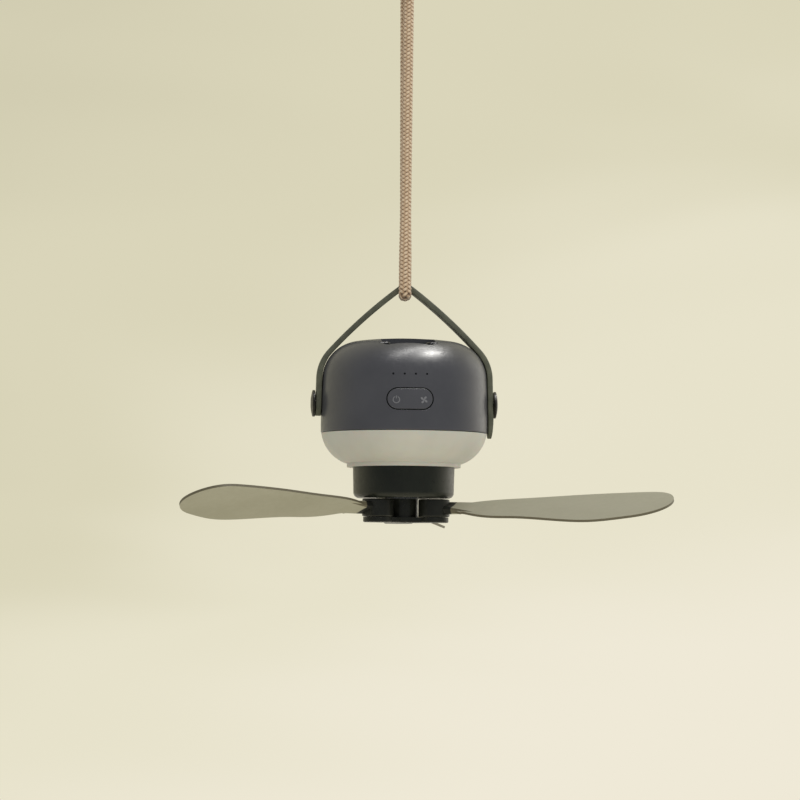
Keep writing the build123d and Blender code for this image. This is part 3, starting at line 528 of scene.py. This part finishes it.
# ---- mode button ----------------------------------------------------------------------
# A pill-shaped rocker in the same plastic. Its two raised symbols, for power and for the
# fan, are picked out in a paler grey. They stand off the barrel's bowed face.
SYMBOL_FOOT = 0.05530
button_plastic = Finish("button_plastic", 0.33)
button_plastic.colours(button_plastic.noise(28, 3), (0.3, (76, 77, 83)), (0.7, (83, 84, 90)))
level = button_plastic.part(button_plastic.place, "Z")
from_widest = button_plastic.maths("ADD", level, -BARREL_WIDEST)
bow = button_plastic.maths("POWER", from_widest, 2)
reach = button_plastic.maths("ADD", button_plastic.from_axis(), bow)
button_plastic.inlay(reach, "GREATER_THAN", SYMBOL_FOOT, (120, 121, 126))
button_plastic.sheen(button_plastic.noise(340, 3), 0.28, 0.38)
button_plastic.grain(button_plastic.noise(3600, 2, 0.6), 0.000022, 0.55)
coat(button_plastic, "mode_button")

# ---- indicator lights -----------------------------------------------------------------
# Four smoked rods of one clear moulding end flush with the housing above the button. They
# carry the light of four small lamps on the control board.
smoked = Finish("smoked_clear", 0.12, Transmission_Weight=0.55, IOR=1.49)
smoked.colours(smoked.noise(200), (0.3, (20, 21, 24)), (0.7, (32, 33, 37)))
smoked.grain(smoked.noise(2500), 0.00001, 0.4)
coat(smoked, "light_guide")
lamp_cap = Finish("phosphor_cap", 0.3)
lamp_cap.colours(lamp_cap.noise(900), (0.3, (222, 206, 110)), (0.7, (240, 226, 150)))
coat(lamp_cap, "indicator_leds", "lamp_leds")

# ---- charging port --------------------------------------------------------------------
# A socket in the back for a flat reversible plug, on its own board, behind a soft rubber
# cover that lies flush with the barrel and folds down on its lower edge.
cover_rubber = Finish("cover_rubber", 0.7)
cover_rubber.colours(cover_rubber.noise(120), (0.3, (58, 59, 63)), (0.7, (68, 69, 73)))
cover_rubber.grain(cover_rubber.noise(2600, 3), 0.00005, 0.7)
coat(cover_rubber, "port_cover")
drawn_steel = Finish("drawn_steel", 0.3, 1.0)
drawn_steel.colours(drawn_steel.noise(300), (0.3, (150, 150, 154)), (0.7, (178, 178, 182)))
drawn_steel.sheen(drawn_steel.noise(800, 2, where=drawn_steel.stretched(1, 1, 0.1)), 0.22, 0.42)
coat(drawn_steel, "usb_socket", "button_pin", "motor_shaft")
coat(drawn_steel, "blade_pins_1", "blade_pins_2", "blade_pins_3")

# ---- boards and battery ---------------------------------------------------------------
# The control board, the charging board and the lamp board are glass laminate under a
# solder mask. Four wrapped cells stand between a tray and a clip inside the chassis tube.
green_mask = Finish("green_mask", 0.35)
green_mask.colours(green_mask.noise(350, 4), (0.35, (16, 74, 40)), (0.65, (26, 96, 54)))
green_mask.grain(green_mask.noise(1400, 2), 0.00003, 0.6)
coat(green_mask, "control_board", "charge_board")
white_mask = Finish("white_mask", 0.4)
white_mask.colours(white_mask.noise(300), (0.3, (214, 214, 208)), (0.7, (232, 232, 228)))
coat(white_mask, "lamp_board")
switch_black = Finish("switch_black", 0.45)
switch_black.colours(switch_black.noise(300), (0.3, (28, 28, 28)), (0.7, (40, 40, 40)))
coat(switch_black, "tact_switches")
cell_wrap = Finish("cell_wrap", 0.3)
cell_wrap.colours(cell_wrap.noise(80), (0.3, (40, 92, 140)), (0.7, (52, 108, 158)))
cell_wrap.grain(cell_wrap.noise(600, 2, where=cell_wrap.stretched(1, 1, 0.2)), 0.00004, 0.5)
coat(cell_wrap, "battery_cells")
filled_nylon = Finish("filled_nylon", 0.55)
filled_nylon.colours(filled_nylon.noise(200, 4), (0.3, (34, 34, 33)), (0.7, (48, 48, 46)))
filled_nylon.grain(filled_nylon.noise(2200, 3), 0.00004, 0.7)
coat(filled_nylon, "battery_tray", "battery_clip", "chassis", "motor_base")
zinc_steel = Finish("zinc_steel", 0.34, 1.0)
zinc_steel.colours(zinc_steel.noise(500), (0.3, (128, 130, 130)), (0.7, (166, 168, 166)))
zinc_steel.sheen(zinc_steel.noise(1200), 0.26, 0.46)
coat(zinc_steel, "housing_screws", "motor_screws", "pivot_screws", "hub_nut")

# ---- diffuser -------------------------------------------------------------------------
# A frosted bowl moulded in milky plastic under the housing, with a lip round its foot. It
# spreads the light of a ring of small lamps.
frosted = Finish("frosted_bowl", 0.42, Subsurface_Weight=0.25, Subsurface_Scale=0.004)
frosted.colours(frosted.noise(36, 3), (0.3, (194, 192, 180)), (0.7, (203, 201, 190)))
frosted.sheen(frosted.noise(260, 3), 0.36, 0.5)
frosted.grain(frosted.noise(3200, 2, 0.6), 0.00002, 0.5)
coat(frosted, "diffuser")

# ---- motor ----------------------------------------------------------------------------
# A black moulded cup round a brushless motor: laminated core with copper coils, a steel
# bell with magnets round it, two bearings and a shaft.
cup_black = Finish("cup_black", 0.34)
cup_black.colours(cup_black.noise(60, 3), (0.3, (27, 30, 24)), (0.7, (35, 38, 31)))
cup_black.sheen(cup_black.noise(300, 3), 0.27, 0.42)
cup_black.grain(cup_black.noise(3200, 2, 0.6), 0.00002, 0.6)
coat(cup_black, "motor_housing")
core_steel = Finish("core_steel", 0.5, 0.8)
core_steel.colours(core_steel.noise(300), (0.3, (78, 78, 80)), (0.7, (98, 98, 100)))
core_steel.grain(core_steel.noise(500, 1, where=core_steel.stretched(0.02, 0.02, 4)), 0.0001, 0.8)
coat(core_steel, "stator_core", "rotor_magnets")
copper_wire = Finish("copper_wire", 0.3, 0.9)
copper_wire.colours(copper_wire.noise(400), (0.3, (168, 88, 44)), (0.7, (196, 112, 62)))
copper_wire.grain(copper_wire.noise(900, 1, where=copper_wire.stretched(3, 3, 0.2)), 0.0001, 0.8)
coat(copper_wire, "stator_windings")
turned_steel = Finish("turned_steel", 0.3, 1.0)
turned_steel.colours(turned_steel.noise(400), (0.3, (160, 160, 158)), (0.7, (190, 190, 187)))
turned_steel.sheen(turned_steel.noise(900, 2), 0.2, 0.4)
coat(turned_steel, "rotor_bell", "rotor_flange", "motor_bearings")

# ---- hub ------------------------------------------------------------------------------
# A three-armed plate of black glass-filled nylon on the shaft, held by a nut. A shoulder
# screw through each arm carries the knuckle of one blade.
hub_nylon = Finish("hub_nylon", 0.36)
hub_nylon.colours(hub_nylon.noise(110, 3), (0.3, (26, 27, 22)), (0.7, (36, 37, 31)))
hub_nylon.sheen(hub_nylon.noise(380, 3), 0.26, 0.46)
hub_nylon.grain(hub_nylon.noise(2600, 3, 0.6), 0.00003, 0.6)
coat(hub_nylon, "hub_carrier", "knuckle_1", "knuckle_2", "knuckle_3")

# ---- blades ---------------------------------------------------------------------------
# Three thin paddles moulded in a matte grey-beige plastic, each pinned in its knuckle by a
# black root. Their edge faces carry painted shade in a darker colour. They fold round on their
# screws, one hangs a little behind.
ROOT_END = 0.0362
EDGE_SLOPE = 0.6
blade_plastic = Finish("blade_plastic", 0.48)
blade_plastic.colours(blade_plastic.noise(18, 3), (0.3, (161, 158, 136)), (0.7, (171, 168, 147)))
true_normal = blade_plastic.node("NewGeometry").outputs["True Normal"]
# Painted shade: faces that stand steeper than EDGE_SLOPE, the blades' edge faces, take a darker
# colour.
slope = blade_plastic.maths("ABSOLUTE", blade_plastic.part(true_normal, "Z"))
blade_plastic.inlay(slope, "LESS_THAN", EDGE_SLOPE, (104, 98, 78))
blade_plastic.inlay(blade_plastic.from_axis(), "LESS_THAN", ROOT_END, (26, 27, 22))
blade_plastic.sheen(blade_plastic.noise(240, 3), 0.42, 0.56)
blade_plastic.grain(blade_plastic.noise(2800, 2, 0.6), 0.00003, 0.5)
coat(blade_plastic, "blade_1", "blade_2", "blade_3")

# ---- floor ----------------------------------------------------------------------------
# A pale plaster floor, 1.7 metres below the strap's bend, that the fan hangs over.
FLOOR_LEVEL = -1.7
FLOOR_RADIUS = 3.6
bpy.ops.mesh.primitive_circle_add(
    vertices=96, radius=FLOOR_RADIUS, fill_type="NGON", location=(0, 0, FLOOR_LEVEL)
)
floor = bpy.context.object
floor.name = "floor"
plaster = Finish("floor_plaster", 0.9)
plaster.colours(plaster.noise(1.2, 4), (0.3, (226, 220, 198)), (0.7, (234, 229, 208)))
plaster.grain(plaster.noise(60, 4), 0.0006, 0.4)
coat(plaster, floor)

# ---- room -----------------------------------------------------------------------------
# A warm cream wall all round, with broad soft drifts of shade and lighter to the lower
# right. Gloss mirrors it too, and a darker grey front of the room. The fan itself is lit
# by one even tone.
WALL_SLANT = radians(-37)
WALL_STRETCH = (2.6, 5, 9.5)
WALL_FALL = (2.2, 0, -4.6)
FALL_ENDS = (-0.62, 0.5)
DRIFT_SHARE = 0.75
DRIFT_MIDDLE = 0.37
FRONT_ENDS = (-0.35, 0.3)
AMBIENT_STRENGTH = 0.78

world = bpy.data.worlds.new("room")
scene.world = world
world.use_nodes = True
room = Nodes(world.node_tree)
looking = room.node("TexCoord").outputs["Generated"]

slant = room.node("Mapping", Rotation=(0, WALL_SLANT, 0), Scale=WALL_STRETCH)
room.links.new(looking, slant.inputs["Vector"])
drift = room.node("TexNoise", Scale=1.7, Detail=2.2, Roughness=0.5, Distortion=0.4)
room.links.new(slant.outputs["Vector"], drift.inputs["Vector"])
fall = room.node("VectorMath", operation="DOT_PRODUCT")
room.links.new(looking, fall.inputs[0])
fall.inputs[1].default_value = WALL_FALL
slope_share = room.rescale(fall.outputs["Value"], *FALL_ENDS)
lowered = room.maths("SUBTRACT", slope_share, DRIFT_MIDDLE)
shade = room.maths("MULTIPLY_ADD", drift.outputs["Fac"], DRIFT_SHARE, lowered)
wall_stops = (
    (0.0, (205, 200, 173)),
    (0.3, (218, 213, 186)),
    (0.6, (231, 226, 203)),
    (0.95, (239, 233, 215)),
)
wall = room.ramp(shade, wall_stops, "EASE")

behind = room.rescale(room.part(looking, "Y"), *FRONT_ENDS)
mirrored_wall = room.mix(behind, (96, 100, 106), wall)

rays = room.node("LightPath").outputs
seen = room.node("Background")
room.links.new(room.mix(rays["Is Glossy Ray"], wall, mirrored_wall), seen.inputs["Color"])
ambient = room.nodes["Background"]
ambient.inputs["Color"].default_value = (*paint(227, 226, 222), 1)
ambient.inputs["Strength"].default_value = AMBIENT_STRENGTH
shown = room.maths("MAXIMUM", rays["Is Camera Ray"], rays["Is Glossy Ray"])
shown = room.maths("MAXIMUM", shown, rays["Is Transmission Ray"])
either = room.node("MixShader")
room.links.new(shown, either.inputs["Fac"])
room.links.new(ambient.outputs["Background"], either.inputs[1])
room.links.new(seen.outputs["Background"], either.inputs[2])
room.links.new(either.outputs["Shader"], room.nodes["World Output"].inputs["Surface"])

# ---- lamps ----------------------------------------------------------------------------
# Softboxes. The key and wide lamps only draw the highlight on the housing's shoulder, and
# the others give a little light from above, from the right and from below.
LAMP_COLOUR = (255, 253, 248)
LAMP_AIM = Vector((0, 0, -0.09))


def soft_lamp(name, place, wide, high, watts, mirrored=True, lights=True):
    """A rectangular softbox that faces the fan, to be mirrored in it, to light it, or both."""
    data = bpy.data.lights.new(name, "AREA")
    data.shape = "RECTANGLE"
    data.size = wide
    data.size_y = high
    data.energy = watts
    data.color = paint(*LAMP_COLOUR)
    lamp = bpy.data.objects.new(name, data)
    lamp.visible_glossy = mirrored
    lamp.visible_diffuse = lights
    lamp.location = place
    aim = LAMP_AIM - lamp.location
    lamp.rotation_mode = "QUATERNION"
    lamp.rotation_quaternion = aim.to_track_quat("-Z", "Y")
    scene.collection.objects.link(lamp)


soft_lamp("key_lamp", (0.66, -0.24, 1.38), 0.55, 0.18, 26, lights=False)
soft_lamp("wide_lamp", (0.17, -0.13, 1.48), 1.86, 0.2, 18, lights=False)
soft_lamp("top_lamp", (0.5, -0.7, 1.4), 1.2, 0.8, 6)
soft_lamp("right_lamp", (1.25, 0.9, 0.35), 0.8, 1.0, 1.6)
soft_lamp("low_lamp", (0.3, -1.1, -1.0), 0.9, 0.5, 6, mirrored=False)

scene.view_settings.view_transform = "Standard"
